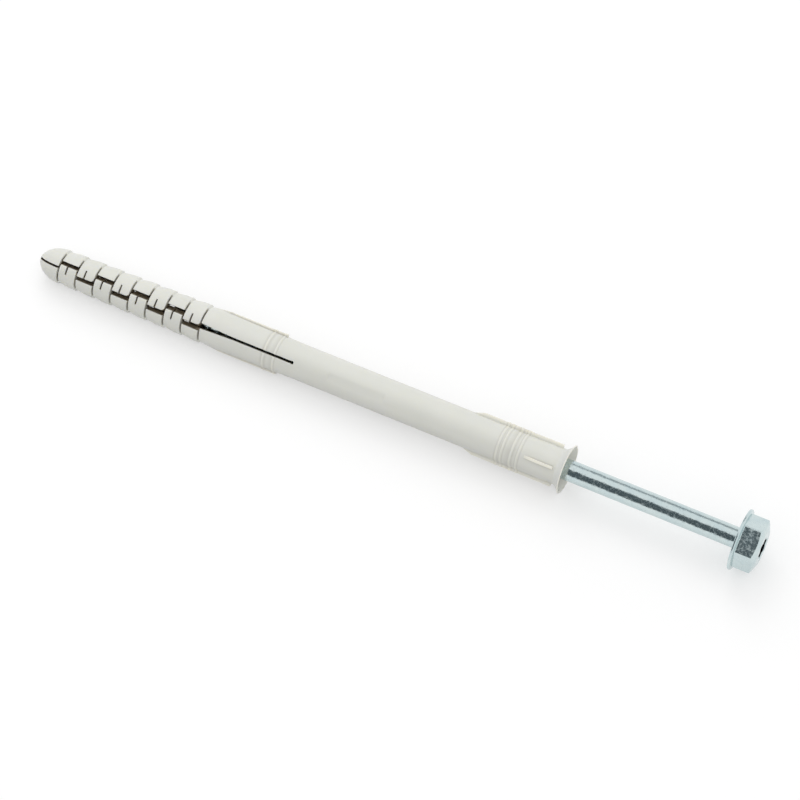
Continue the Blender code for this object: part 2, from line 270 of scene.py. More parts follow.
class PlugLook(PropertyGroup):
    """What a user would change on the moulded plug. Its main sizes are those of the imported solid."""

    edge_radius: length("Edge radius", "Rounding that the mould leaves along the grooves", 0.00010)
    slit_edge: length("Slit edge", "Rounding along the slit, its tongues and its notches", 0.00012)
    mark_height: length("Mark height", "Height of the faint rings that the mould leaves", 0.00018)
    field_depth: length("Field depth", "Depth of the bare flat field on the barrel", 0.00018)
    groove_shade: FloatProperty(
        name="Groove shade",
        description="Share of the shaded colour in the grooves",
        default=0.45,
        min=0.0,
        max=1.0,
        subtype="FACTOR",
    )
    light: colour("Nylon, light", "Lighter colour of the nylon's clouds", "#E5E5DF")
    cloudy: colour("Nylon, cloudy", "Darker colour of the nylon's clouds", "#DCDDD5")
    # The shade colour is painted shade deep in gaps and at the feet of ribs; the next is painted
    # highlight on crests and the lip and painted light on the thin mouth
    shade: colour("Nylon, shade", "Colour deep in the slit and the channel", "#877B68")
    painted_light: colour("Nylon, rubbed", "Colour of rubbed crests and of the thin mouth", "#F6F3E6")
    grain: length("Grain", "Width of the grain on the mould's face, as it is drawn", 0.00030)


class ScrewLook(PropertyGroup):
    """What a user would change on the screw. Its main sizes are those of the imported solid."""

    corner_radius: length("Corner radius", "Rounding of the hexagon's corners", 0.00035)
    thread_crest: length("Thread crest", "Width of the flat on top of the thread", 0.00016)
    thread_sides: IntProperty(
        name="Thread sides", description="Points on each turn of the thread", default=40, min=12, max=96
    )
    blue: colour("Plating, blue", "Blue patches of the passivated zinc", "#B9CCD1")
    pale: colour("Plating, pale", "Pale patches of the passivated zinc", "#D8E2E0")
    # Painted shade: the recess's wall and floor take this dark colour
    recess_shade: colour("Recess", "Colour of the grease left in the recess", "#262C30")
    crystal: length("Crystals", "Width of the zinc crystals, as they are drawn", 0.00060)
    dent: length("Dents", "Width of the dents from barrel plating", 0.0015)


class StudioLook(PropertyGroup):
    """Light and surroundings of the studio."""

    room_level: FloatProperty(
        name="Room level",
        description="Light that comes from all sides",
        default=0.87,
        min=0.0,
    )
    window_power: FloatProperty(
        name="Window power",
        description="Power of the window lamp in watts",
        default=2.1,
        min=0.0,
        unit="POWER",
    )
    window_size: length("Window size", "Side of the square window lamp", 0.7)
    card_length: length("Card length", "Length of both cards along the fixing", 0.5)
    black_width: length("Black card's width", "Width of the card in front", 0.60)
    black: colour("Black card", "Colour of the card in front", "#6E787D")
    grey_width: length("Grey card's width", "Width of the card behind", 0.20)
    grey: colour("Grey card", "Colour of the card behind", "#D4DADD")
    paper: colour("Paper", "Colour of the paper as the camera sees it", "#CECECE")
    bounce: colour("Paper's bounce", "Colour of the light that the paper throws back", "#C0C0C0")
    paper_glow: FloatProperty(
        name="Paper glow",
        description="Light added to the paper as seen, so that its shadow stays pale",
        default=0.41,
        min=0.0,
    )


def blend(x, start, end, low, high):
    """Straight run from low at start to high at end, level outside them."""
    return low + (high - low) * np.clip((x - start) / (end - start), 0.0, 1.0)


def step(x, edge, run=STEP_RUN):
    """Goes smoothly from 0 to 1 over the run around the edge: s squared times (3 - 2 s)."""
    share = np.clip((x - edge) / run + 0.5, 0.0, 1.0)
    return share * share * (3 - 2 * share)


def within(x, start, end, run=STEP_RUN):
    """1 between start and end and 0 outside them, with a smooth run at both."""
    return step(x, start, run) * (1 - step(x, end, run))


def slit_width(x):
    """Width of the slit: it opens towards the screw's point and closes again behind it."""
    start = SLIT_WIDTH + (TOOTH_GAP - SLIT_WIDTH) * step(x, FIRST_GROOVE)
    opening = blend(x, FIRST_GROOVE, LAST_GROOVE, 0.0, 1.0) * (SPREAD_WIDTH - start) + start
    closing = blend(x, LAST_GROOVE, LAST_GROOVE + SLOT_TAPER, 0.0, SLOT_WIDTH - SPREAD_WIDTH)
    return opening + closing


def spread(x):
    """How far each half has been pushed out sideways."""
    most = (SPREAD_WIDTH - SLIT_WIDTH) / 2
    return blend(x, FIRST_GROOVE, LAST_GROOVE, 0.0, most) - blend(x, LAST_GROOVE, SLOT_END, 0.0, most)


def body_radius(x):
    """Radius of the plug: round nose, slight taper along the teeth, straight barrel and flare.

    The nose is a quarter circle and the flare grows as s^1.5, with s from 0 to 1 along it. Each of the
    mould's faint rings adds height exp(-u^2), with u the distance over the ring's width, and each
    groove's edge is rounded off by a quarter circle.
    """
    look = bpy.context.scene.plug_look
    nose = np.sqrt(1 - (1 - blend(x, NOSE_START, FIRST_GROOVE, 0.0, 1.0)) ** 2)
    radius = nose * blend(x, FIRST_GROOVE, LAST_GROOVE, NOSE_RADIUS, PLUG_RADIUS)
    flare = np.clip((x - FLARE_START) / COLLAR_FLARE, 0, 1) ** FLARE_POWER
    radius = radius + flare * (COLLAR_RADIUS - PLUG_RADIUS)
    for place in MARK_PLACES:
        radius = radius + look.mark_height * np.exp(-(((x - place) / MARK_WIDTH) ** 2))
    for groove in GROOVES:
        away = np.abs(x - groove) - GROOVE_WIDTH / 2
        inward = 1 - np.clip(away / look.edge_radius, 0, 1)
        radius = radius - look.edge_radius * (1 - np.sqrt(1 - inward**2)) * (away > -STEP_RUN)
    return radius


def tooth_relief(x):
    """How deep the flanks lie behind each groove; they rise again over the relief's run."""
    depth = np.zeros_like(x)
    for groove in GROOVES:
        slope = 1 - np.clip((x - groove) / RELIEF_RUN, 0, 1)
        depth = depth + TOOTH_RELIEF * slope * step(x, groove)
    return depth


def slit_edge(x, upper, notched=True):
    """How far the slit's edge lies from the centre line, towards its own half.

    The slit swings by the tongues' reach to and fro at each groove. A step away from the half comes
    before the groove and a step towards it comes behind, so that a gap stays between tongue ends. The
    notches are blind, so the edge further in is the one without them.
    """
    side = 1 if upper else -1
    up = blend(GROOVES[:-1], FIRST_GROOVE, LAST_GROOVE, LOWER_TONGUE_REACH, LOWER_REACH_AT_SCREW)
    down = blend(GROOVES[:-1], FIRST_GROOVE, LAST_GROOVE, UPPER_TONGUE_REACH, UPPER_REACH_AT_SCREW)
    swings = np.where(np.arange(TOOTH_COUNT) % 2 == 0, up, -down)
    middles = np.concatenate(([SLIT_SHIFT], swings, [0.0]))
    edge = slit_width(x) / 2 + side * SLIT_SHIFT
    for groove, middle, following in zip(GROOVES, middles, middles[1:]):
        recedes = side * (following - middle) > 0
        place = groove + (-GROOVE_WIDTH / 2 if recedes else GROOVE_WIDTH / 2)
        edge = edge + side * (following - middle) * step(x, place)
        if upper and recedes and middle < 0:
            inward = 1 - np.clip((place - x) / TONGUE_CORNER, 0, 1)
            edge = edge + TONGUE_CORNER * (1 - np.sqrt(1 - inward**2)) * (1 - step(x, place))
    for groove, middle in zip(GROOVES, middles[1:-1]):
        if notched and side * middle < 0:
            start = groove + NOTCH_PLACE - NOTCH_WIDTH / 2
            edge = edge + NOTCH_DEPTH * within(x, start, start + NOTCH_WIDTH)
    eye = SLOT_EYE / 2
    centre = SLOT_END - eye
    round_end = np.sqrt(np.clip(eye**2 - (x - centre) ** 2, 0, None))
    edge = np.where(x > centre, round_end, edge)
    edge = np.where(np.abs(x - centre) < eye, np.maximum(edge, round_end), edge)
    return edge * step(x, NOSE_BRIDGE + STEP_RUN / 2)


def channel_radius(x):
    """Radius of the hollow between the halves."""
    tapered = blend(x, CHANNEL_START, SCREW_TIP, CHANNEL_START_RADIUS, CHANNEL_RADIUS)
    widened = blend(x, SCREW_TIP, POINT_END, 0.0, BORE_RADIUS - CHANNEL_RADIUS)
    return (tapered + widened) * step(x, CHANNEL_START)


def fin_height(x, turned):
    """Height of the long fins and ribs at the flanks, or of the short ribs at front and back if turned.

    Each rises evenly along its ramp, stays level and ends in a step.
    """
    if turned:
        start = RIB_END - SHORT_RIB_LENGTH
        ramp = np.clip((x - start) / FIN_RAMP, SHORT_RIB_START, 1)
        return SHORT_RIB_HEIGHT * ramp * within(x, start, RIB_END)
    front_end = FRONT_FIN_START + FRONT_FIN_LENGTH
    front_top = FRONT_FIN_HEIGHT + spread(front_end) - spread(x)
    ramp = np.clip((x - FRONT_FIN_START) / FIN_RAMP, 0, 1)
    front = front_top * ramp * within(x, FRONT_FIN_START, front_end)
    start = RIB_END - LONG_RIB_LENGTH
    ramp = np.clip((x - start) / FIN_RAMP, 0, 1)
    return front + LONG_RIB_HEIGHT * ramp * within(x, start, RIB_END)


def fin_half_angle():
    """Half the angle that a fin takes up on the barrel, in degrees: asin(thickness / 2 / radius)."""
    return math.degrees(math.asin(FIN_THICKNESS / 2 / PLUG_RADIUS))


def outside(x, turn):
    """Point (Y, Z) of the plug's outside at station x and angle turn from the Z axis.

    It is (radius + spread) sin turn across and radius cos turn out, with the relief taken off in
    proportion to |sin turn|. The fins' heights are added across at the flanks and out at the faces.
    """
    half = fin_half_angle()
    side = np.sin(turn)
    face = np.cos(turn)
    radius = body_radius(x) - tooth_relief(x) * np.abs(side)
    from_flank = np.abs(np.degrees(turn) % 180 - 90)
    at_flank = 1 - step(from_flank, half, FIN_EDGE)
    at_face = step(from_flank, 90 - half, FIN_EDGE)
    across = (radius + spread(x)) * side + np.sign(side) * fin_height(x, False) * at_flank
    out = radius * face + np.sign(face) * fin_height(x, True) * at_face
    return across, out


def painted_shade_and_highlight(x, turn):
    """How far the outside gets painted shade at the feet of ribs and rings, and painted highlight on
    their crests.

    A foot's share falls evenly from 1 at a rib's side to 0 at half a rib's width away from it, and the
    long ribs near the mouth get less, because their sides face the light. A ring's crest is
    exp(-u^2), with u the distance over the ring's width, and its foot exp(-(2u - 4)^2).
    """
    half = fin_half_angle()
    from_flank = np.abs(np.degrees(turn) % 180 - 90)
    foot = np.zeros_like(from_flank + x)
    crest = np.zeros_like(foot)
    lit = np.where(x > FIELD_START, LONG_RIB_FOOT_SHADE, 1.0)
    at_flank = from_flank, False, LONG_RIB_HEIGHT, lit
    at_face = 90 - from_flank, True, SHORT_RIB_HEIGHT, 1.0
    for away, turned, most, shade in (at_flank, at_face):
        there = np.clip(2 * fin_height(x, turned) / most, 0, 1)
        on_top = 1 - step(away, half, FIN_EDGE)
        crest = crest + there * on_top
        foot = foot + shade * there * (1 - on_top) * np.clip(2 - away / half, 0, 1)
    for place in MARK_PLACES:
        reach = np.abs(x - place) / MARK_WIDTH
        crest = crest + np.exp(-(reach**2)) * RING_CREST_HIGHLIGHT
        foot = foot + np.exp(-((2 * reach - 4) ** 2)) * RING_FOOT_SHADE
    return np.clip(foot, 0, 1) * FOOT_SHADE, np.clip(crest, 0, 1)


def cap(x):
    """Height above the axis that the face is cut down to: the grooves' floor, or no cut elsewhere."""
    height = np.full_like(x, COLLAR_RADIUS)
    for groove in GROOVES:
        inside = within(x, groove - GROOVE_WIDTH / 2, groove + GROOVE_WIDTH / 2)
        height = height - (height - GROOVE_FLOOR) * inside
    return height


def face_shares():
    """Shares of the way from the slit's edge to the fixed arc, close together at a short rib's side."""
    close = (fin_half_angle() + FIN_EDGE * STEP_SHARES) / ARC_SPLIT
    return np.concatenate(([FACE_SHARE_AT_EDGE], close, FACE_SHARES))


def arc_angles():
    """Fixed angles of the outside, in degrees, with close pairs at the edges of the flank's fin."""
    half = fin_half_angle()
    plain = np.linspace(ARC_SPLIT, 90 - 2 * half, 9)
    close = 90 - half + FIN_EDGE * STEP_SHARES
    side = np.concatenate((plain, close))
    return np.concatenate((side, [90.0], 180 - side[::-1]))


def half_turns():
    """Angles from the front to the back of one half where the slit is closed."""
    face = ARC_SPLIT * np.concatenate(([0.0], face_shares()))
    return np.radians(np.concatenate((face, arc_angles(), 180 - face[::-1])))


def full_turns():
    """Angles of a whole ring, those of one half and then the same for the other."""
    half = half_turns()
    return np.concatenate((half, half[1:-1] + math.pi))


def face_arc(x, edge):
    """Angles from the slit's edge to the fixed part of the arc, and how far the round edge sinks them.

    The edge is a quarter circle: across by 1 - cos s and down by 1 - sin s, times its radius.
    """
    relief = tooth_relief(x)
    wide = body_radius(x) + spread(x)
    open_length = np.minimum(SLOT_END - x, x - NOSE_BRIDGE)
    edge_radius = bpy.context.scene.plug_look.slit_edge
    corner = edge_radius * np.clip(open_length / edge_radius, 0, 1)
    swing = np.radians(np.array((0.0, 30.0, 60.0, 90.0)))[None, :]
    across = edge + corner * (1 - np.cos(swing))
    turn = np.arcsin(np.clip(across / wide, -1, 1))
    for _ in range(3):
        turn = np.arcsin(np.clip(across / (wide - relief * np.abs(np.sin(turn))), -1, 1))
    split = math.radians(ARC_SPLIT)
    onward = turn[:, -1:] + (split - turn[:, -1:]) * face_shares()[None, :]
    drop = np.concatenate((corner * (1 - np.sin(swing)), np.zeros_like(onward)), 1)
    return np.concatenate((turn, onward), 1), drop


def half_rows(x):
    """Cross-sections of one half of the plug, one row of (Y, Z) points for each station.

    A row runs from the slit's front edge round the outside to its back edge, down the back wall to
    the channel, round the channel and up the front wall. The other half is this one turned by 180
    degrees about the axis, because the back carries the front's slit turned over. The slit narrows
    inwards as the mould's draft makes it, and in the nose the halves stay a hair apart on the axis.
    """
    x = x[:, None]
    edges = slit_edge(x, True), slit_edge(x, False)
    front, front_drop = face_arc(x, edges[0])
    back, back_drop = face_arc(x, edges[1])
    middle = np.radians(arc_angles())[None, :] + np.zeros_like(x)
    turn = np.concatenate((front, middle, math.pi - back[:, ::-1]), 1)
    drop = np.concatenate((front_drop, np.zeros_like(middle), back_drop[:, ::-1]), 1)
    across, whole = outside(x, turn)
    out = np.sign(whole) * (np.minimum(np.abs(whole), cap(x)) - drop)

    channel = channel_radius(x)
    draft = SLIT_DRAFT * slit_width(x) * within(x, FIRST_GROOVE, LAST_GROOVE)
    apart = NOSE_GAP * step(x, NOSE_BRIDGE + STEP_RUN / 2) * (1 - step(x, CHANNEL_START))
    deep = [slit_edge(x, upper, False) - (draft - apart) for upper in (True, False)]
    openings = [np.arcsin(np.clip(edge / np.maximum(channel, 1e-9), -1, 1)) for edge in deep]
    share = half_turns()[None, :] / math.pi
    inner = openings[0] + (math.pi - openings[0] - openings[1]) * share
    arc_y = np.maximum(channel * np.sin(inner), np.minimum(*deep))
    arc_z = channel * np.cos(inner)
    rows = np.array(WALL_SHARES)[None, :]
    notch_end = step(rows, NOTCH_FLOOR, NOTCH_FLOOR_RUN)
    walls = []
    for edge, inner_edge, side, column in zip(edges, deep, (1, -1), (0, -1)):
        floor = side * np.sqrt(np.clip(channel**2 - inner_edge**2, 0, None))
        wall_z = out[:, [column]] + (floor - out[:, [column]]) * rows
        walls.append((edge + (inner_edge - edge) * notch_end, wall_z))
    y = np.concatenate((across, walls[1][0], arc_y[:, ::-1], walls[0][0][:, ::-1]), 1)
    z = np.concatenate((out, walls[1][1], arc_z[:, ::-1], walls[0][1][:, ::-1]), 1)
    # Painted shade in the grooves and deep in the slit and channel; painted highlight on crests clear
    # of the grooves
    sunk = np.clip(np.abs(whole - out) / HOLLOW_DEPTH, 0, 1) * bpy.context.scene.plug_look.groove_shade
    wall = np.clip((PLUG_RADIUS - np.hypot(y, z)) / HOLLOW_DEPTH, 0, 1)
    foot, crest = painted_shade_and_highlight(x, turn)
    inside = wall[:, sunk.shape[1] :]
    painted_shade = np.concatenate((np.maximum(sunk, foot), inside), 1)
    painted_light = np.concatenate((crest * (sunk < SUNK_LIMIT), 0 * inside), 1)
    return y, z, painted_shade, painted_light


def half_stations():
    """Stations of the toothed and slotted part, close together wherever its form steps."""
    ramp = STEP_RUN * STEP_SHARES
    outer = bpy.context.scene.plug_look.edge_radius * EDGE_SHARES
    near = STEP_RUN / 2
    wall = np.concatenate((-near - outer, ramp))
    places = [
        np.arange(NOSE_BRIDGE, SLOT_END - SLOT_EYE, TOOTHED_STATION_GAP),
        NOSE_BRIDGE + near + ramp,
    ]
    for index, groove in enumerate(GROOVES):
        half = GROOVE_WIDTH / 2
        places += [groove - half + wall, groove + half - wall, [groove + RELIEF_RUN]]
        if index < TOOTH_COUNT:
            start = groove + NOTCH_PLACE - NOTCH_WIDTH / 2
            places += [start + ramp, start + NOTCH_WIDTH + ramp]
        if index % 2 == 0 and index:
            swing = np.linspace(0, math.pi / 2, 7)[:-1]
            places.append(groove - half - TONGUE_CORNER * (1 - np.sin(swing)))
    front_end = FRONT_FIN_START + FRONT_FIN_LENGTH
    for edge in (CHANNEL_START, FRONT_FIN_START, front_end):
        places.append(edge + ramp)
    for edge in (SCREW_TIP, POINT_END, FRONT_FIN_START + FIN_RAMP, LAST_GROOVE + SLOT_TAPER):
        places.append([edge])
    for mark in MARK_PLACES[:2]:
        places.append(mark + MARK_WIDTH * np.linspace(-MARK_SPAN, MARK_SPAN, 7))
    eye = SLOT_EYE / 2
    places.append(SLOT_END - eye + eye * np.sin(np.radians(np.linspace(-60, 90, EYE_STATIONS))))
    return settle(places, NOSE_BRIDGE, SLOT_END)


def settle(places, start, end):
    """Sorted stations from start to end, with those dropped that nearly repeat the one before."""
    x = np.unique(np.round(np.concatenate(places), 7))
    x = x[(x > start) & (x < end)]
    x = np.concatenate(([start], x, [end]))
    keep = np.append(np.diff(x) > STEP_RUN / 16, True)
    keep[0] = True
    return x[keep]


def ring_rows(x, turn):
    """Rows of the barrel's whole outside, with the bare field let into its front."""
    x = x[:, None]
    turn = turn[None, :]
    across, out = outside(x, turn)
    flat = PLUG_RADIUS - bpy.context.scene.plug_look.field_depth
    lowered = np.where(out > flat, flat, out)
    inside = within(x, FIELD_START, FIELD_START + FIELD_LENGTH, FIELD_RUN)
    return across, out + (lowered - out) * inside


def grid_faces(rows, columns):
    """Quads of a grid of points whose last column joins the first."""
    row, column = np.meshgrid(np.arange(rows - 1), np.arange(columns))
    following = (column + 1) % columns
    corners = (
        row * columns + column,
        row * columns + following,
        (row + 1) * columns + following,
        (row + 1) * columns + column,
    )
    return np.stack([corner.ravel() for corner in corners], 1)


class Surface:
    """Points and quads gathered from several grids for one piece."""

    def __init__(self):
        self.points = []
        self.faces = []
        self.painted_shade = []
        self.painted_light = []
        self.count = 0

    def add(self, x, y, z, painted_shade=0.0, painted_light=0.0):
        """Add a grid of rows round the axis.

        Painted shade is 0 on open faces and 1 deep in a gap. Painted light is 1 on crests and edges
        that get a painted highlight, and lower on the thin mouth.
        """
        rows, columns = y.shape
        x = x + np.zeros_like(y)
        self.faces.append(grid_faces(rows, columns) + self.count)
        self.points.append(np.stack((x, y, z), -1).reshape(-1, 3))
        self.painted_shade.append((painted_shade + np.zeros_like(y)).ravel())
        self.painted_light.append((painted_light + np.zeros_like(y)).ravel())
        self.count += rows * columns

    def build(self, name, turn):
        """Mesh object in the fixing's frame, turned and laid down, with its seams and poles merged."""
        points = np.concatenate(self.points)
        place = placement() @ Matrix.Rotation(math.radians(turn), 4, "X")
        matrix = np.array(place)
        points = points @ matrix[:3, :3].T + matrix[:3, 3]
        mesh = bpy.data.meshes.new(name)
        mesh.from_pydata(points.tolist(), [], np.concatenate(self.faces).tolist())
        for label, shares in (("painted_shade", self.painted_shade), ("painted_light", self.painted_light)):
            attribute = mesh.attributes.new(label, "FLOAT", "POINT")
            attribute.data.foreach_set("value", np.concatenate(shares))
        merge_points(mesh)
        mesh.shade_smooth()
        mesh.set_sharp_from_angle(angle=math.radians(SHARP_ANGLE))
        return add_object(name, mesh)


def merge_points(mesh):
    """Join points that lie on each other, so that every seam and pole is closed."""
    build = bmesh.new()
    build.from_mesh(mesh)
    bmesh.ops.remove_doubles(build, verts=build.verts, dist=MERGE_DISTANCE)
    bmesh.ops.dissolve_degenerate(build, edges=build.edges, dist=MERGE_DISTANCE / 2)
    bmesh.ops.recalc_face_normals(build, faces=build.faces)
    build.to_mesh(mesh)
    build.free()


def placement():
    """Lays the fixing down on its flange and its nose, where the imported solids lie.

    The tilt is atan of (flange radius - nose radius) over the distance between them, and along X the
    screw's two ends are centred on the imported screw's box.
    """
    tilt = math.atan2(FLANGE_RADIUS - NOSE_RADIUS, HEAD_SEAT - FIRST_GROOVE)
    low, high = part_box("screw")
    lean = Matrix.Rotation(-tilt, 4, "Y")
    tip = -POINT_RADIUS * math.sin(tilt) + SCREW_TIP * math.cos(tilt)
    end = HEAD_FACE_RADIUS * math.sin(tilt) + HEAD_END * math.cos(tilt)
    seat = HEAD_SEAT * math.sin(tilt)
    rim = FLANGE_RADIUS * math.cos(tilt)
    return Matrix.Translation(((low.x + high.x - tip - end) / 2, 0.0, rim - seat)) @ lean


def barrel_stations():
    """Stations of the barrel's outside, close together at the ribs' ends, the marks and the field."""
    ramp = np.linspace(-0.5, 0.5, 5)
    places = [np.arange(SLOT_END, FLARE_START, BARREL_STATION_GAP)]
    long_start = RIB_END - LONG_RIB_LENGTH
    short_start = RIB_END - SHORT_RIB_LENGTH
    for edge in (RIB_END, short_start):
        places.append(edge + STEP_RUN * ramp)
    for edge in (long_start, long_start + FIN_RAMP, short_start + FIN_RAMP):
        places.append([edge])
    for edge in (FIELD_START, FIELD_START + FIELD_LENGTH):
        places.append(edge + FIELD_RUN * ramp)
    for mark in MARK_PLACES[2:]:
        places.append(mark + MARK_WIDTH * np.linspace(-MARK_SPAN, MARK_SPAN, 9))
    places.append(FLARE_START + COLLAR_FLARE * np.linspace(0, 1, FLARE_RINGS)[:-1])
    return settle(places, SLOT_END, PLUG_LENGTH - MOUTH_WALL / 2)


def make_plug():
    """Plug: two halves, the nose that bridges them, and the barrel with its mouth and bore.

    A half's row runs round its outside, down a wall, round the channel and up the other wall. The nose
    and the barrel are rings (radius sin turn, radius cos turn). The barrel's rings go on round the
    mouth's lip, a half circle, and back along the bore.
    """
    surface = Surface()
    x = half_stations()
    y, z, painted_shade, painted_light = half_rows(x)
    surface.add(x[:, None], y, z, painted_shade, painted_light)
    surface.add(x[:, None], -y, -z, painted_shade, painted_light)
    turn = full_turns()
    reach = FIRST_GROOVE - NOSE_START
    last = math.acos(1 - (NOSE_BRIDGE - NOSE_START) / reach)
    x = NOSE_START + reach * (1 - np.cos(np.linspace(0, last, NOSE_RINGS)))
    surface.add(x[:, None], *outside(x[:, None], turn[None, :]))
    x = barrel_stations()
    y, z = ring_rows(x, turn)
    foot, crest = painted_shade_and_highlight(x[:, None], turn[None, :])
    wall = MOUTH_WALL / 2
    lip = np.linspace(0, math.pi, LIP_RINGS)
    lip_x = PLUG_LENGTH - wall + wall * np.sin(lip)
    lip_radius = COLLAR_RADIUS - wall + wall * np.cos(lip)
    throat = PLUG_LENGTH - MOUTH_DEPTH
    edge = bpy.context.scene.plug_look.edge_radius
    inner_x = np.array((throat + edge, throat, throat - SEAT_LENGTH, SLOT_END))
    inner_radius = np.array((MOUTH_THROAT_RADIUS + edge, MOUTH_THROAT_RADIUS, BORE_RADIUS, BORE_RADIUS))
    inside_x = np.concatenate((lip_x, inner_x))
    radius = np.concatenate((lip_radius, inner_radius))[:, None]
    y = np.concatenate((y, radius * np.sin(turn)))
    z = np.concatenate((z, radius * np.cos(turn)))
    x = np.concatenate((x, inside_x))[:, None]
    # Painted shade in the throat and the bore; painted highlight on the lip and painted light on the
    # thin mouth
    inside = np.concatenate((np.zeros(len(lip)), [MOUTH_SHADE, MOUTH_SHADE, 1.0, 1.0]))[:, None]
    painted_light_share = np.concatenate((np.ones(len(lip)), np.full(len(inner_x), MOUTH_PAINTED_LIGHT)))[:, None]
    painted_shade = np.concatenate((foot, inside + 0 * turn))
    painted_light = np.concatenate((crest, painted_light_share + 0 * turn))
    surface.add(x, y, z, painted_shade, painted_light)
    return surface.build("plug_body", PLUG_TURN)


def core_radius(x):
    """Radius of the screw's core, which tapers to the point."""
    return blend(x, SCREW_TIP, POINT_END, POINT_RADIUS, CORE_RADIUS)


def corner_start():
    """Angle from a flat's middle at which the hexagon's round corner starts."""
    apothem = HEX_ACROSS_FLATS / 2
    radius = bpy.context.scene.screw_look.corner_radius
    return math.atan((apothem - radius) * math.tan(math.pi / 6) / apothem)


def head_turns():
    """Angles round the head, with a small arc of them at each of the hexagon's corners."""
    tangent = corner_start()
    flat = np.linspace(-tangent, tangent, FLAT_POINTS)
    corner = tangent + (math.pi / 3 - 2 * tangent) * np.array((0.2, 0.4, 0.6, 0.8))
    sector = np.concatenate((flat, corner))
    return np.concatenate([sector + math.pi / 3 * index for index in range(6)])


def hexagon_radius(turn):
    """Distance from the axis to the hexagon's side, with a flat facing Z and slightly round corners."""
    apothem = HEX_ACROSS_FLATS / 2
    corner = bpy.context.scene.screw_look.corner_radius
    wrapped = (turn + math.pi / 6) % (math.pi / 3) - math.pi / 6
    middle = (apothem - corner) / math.cos(math.pi / 6)
    away = math.pi / 6 - np.abs(wrapped)
    inside_root = np.clip(corner**2 - (middle * np.sin(away)) ** 2, 0, None)
    rounded = middle * np.cos(away) + np.sqrt(inside_root)
    return np.where(np.abs(wrapped) > corner_start(), rounded, apothem / np.cos(wrapped))


def bend(before, corner, after, count=5):
    """Rows of a small round edge: the curve (1-s)^2 before + 2 s (1-s) corner + s^2 after."""
    rows = []
    for share in np.linspace(0, 1, count):
        weights = (1 - share) ** 2, 2 * share * (1 - share), share**2
        row = [sum(w * p[k] for w, p in zip(weights, (before, corner, after))) for k in (0, 1)]
        rows.append(row)
    return rows


def make_screw():
    """Screw: rows (x, radius) from the point to the recess's floor, carried round the axis.

    The hexagon's side is apothem / cos turn, the end is a cone of the chamfer's angle, and the
    recess's wall lies at middle + lobe cos (6 turn). The recess's floor dips a little to its middle.
    """
    turn = head_turns()
    level = np.zeros_like(turn)
    side = hexagon_radius(turn)
    slope = math.tan(math.radians(HEAD_CHAMFER_ANGLE))
    thread_end = SCREW_TIP + THREAD_PITCH * (THREAD_TURNS + 1 + THREAD_LEAD_IN)
    edge = HEAD_EDGE
    rim = FLANGE_EDGE / 2
    root = HEAD_SEAT + FLANGE_RISE
    foot = np.maximum(side + edge, HEX_ACROSS_FLATS / math.sqrt(3) - edge)
    chamfer = HEAD_END - (side - HEAD_FACE_RADIUS) * slope
    recess = RECESS_RADIUS - RECESS_LOBE + RECESS_LOBE * np.cos(RECESS_LOBES * turn)
    floor = HEAD_END - RECESS_DEPTH
    rows = [
        (SCREW_TIP, 0),
        (SCREW_TIP, POINT_RADIUS),
        (POINT_END, CORE_RADIUS),
        (thread_end, CORE_RADIUS),
        (thread_end + SHANK_SHOULDER, SHANK_RADIUS),
    ]
    shank = np.linspace(thread_end + SHANK_SHOULDER, HEAD_SEAT - UNDERHEAD_FILLET, SHANK_RINGS)
    rows += [(x, SHANK_RADIUS) for x in shank[1:-1]]
    rows += bend(
        (HEAD_SEAT - UNDERHEAD_FILLET, SHANK_RADIUS),
        (HEAD_SEAT, SHANK_RADIUS),
        (HEAD_SEAT, SHANK_RADIUS + UNDERHEAD_FILLET),
    )
    rows += bend(
        (HEAD_SEAT, FLANGE_RADIUS - rim / 2),
        (HEAD_SEAT, FLANGE_RADIUS),
        (HEAD_SEAT + rim, FLANGE_RADIUS),
    )
    top = HEAD_SEAT + FLANGE_EDGE
    rows += bend(
        (top - rim, FLANGE_RADIUS),
        (top, FLANGE_RADIUS),
        (top + edge / 2, FLANGE_RADIUS - rim),
    )
    rows += bend((root - edge / 3, foot + edge), (root, foot), (root, side + edge), 3)
    rows += bend((root, side + edge), (root, side), (root + edge, side), 4)
    rows += bend((chamfer - edge, side), (chamfer, side), (chamfer + edge * slope, side - edge))
    rows += bend(
        (HEAD_END - edge * slope, level + HEAD_FACE_RADIUS + edge),
        (HEAD_END, level + HEAD_FACE_RADIUS),
        (HEAD_END, level + HEAD_FACE_RADIUS - edge),
        4,
    )
    rows += bend((HEAD_END, recess + edge), (HEAD_END, recess), (HEAD_END - edge, recess), 4)
    rows += [(floor, recess), (floor - edge, recess * RECESS_FLOOR_SHARE), (floor - 2 * edge, 0)]
    x = np.array([row[0] + level for row in rows])
    radius = np.array([row[1] + level for row in rows])
    surface = Surface()
    # The last four rows are the recess's wall and floor, which get painted shade
    painted_shade = (np.arange(len(rows)) >= len(rows) - 4)[:, None] * 1.0
    surface.add(x, radius * np.sin(turn), radius * np.cos(turn), painted_shade)
    return surface.build("screw_body", SCREW_TURN)


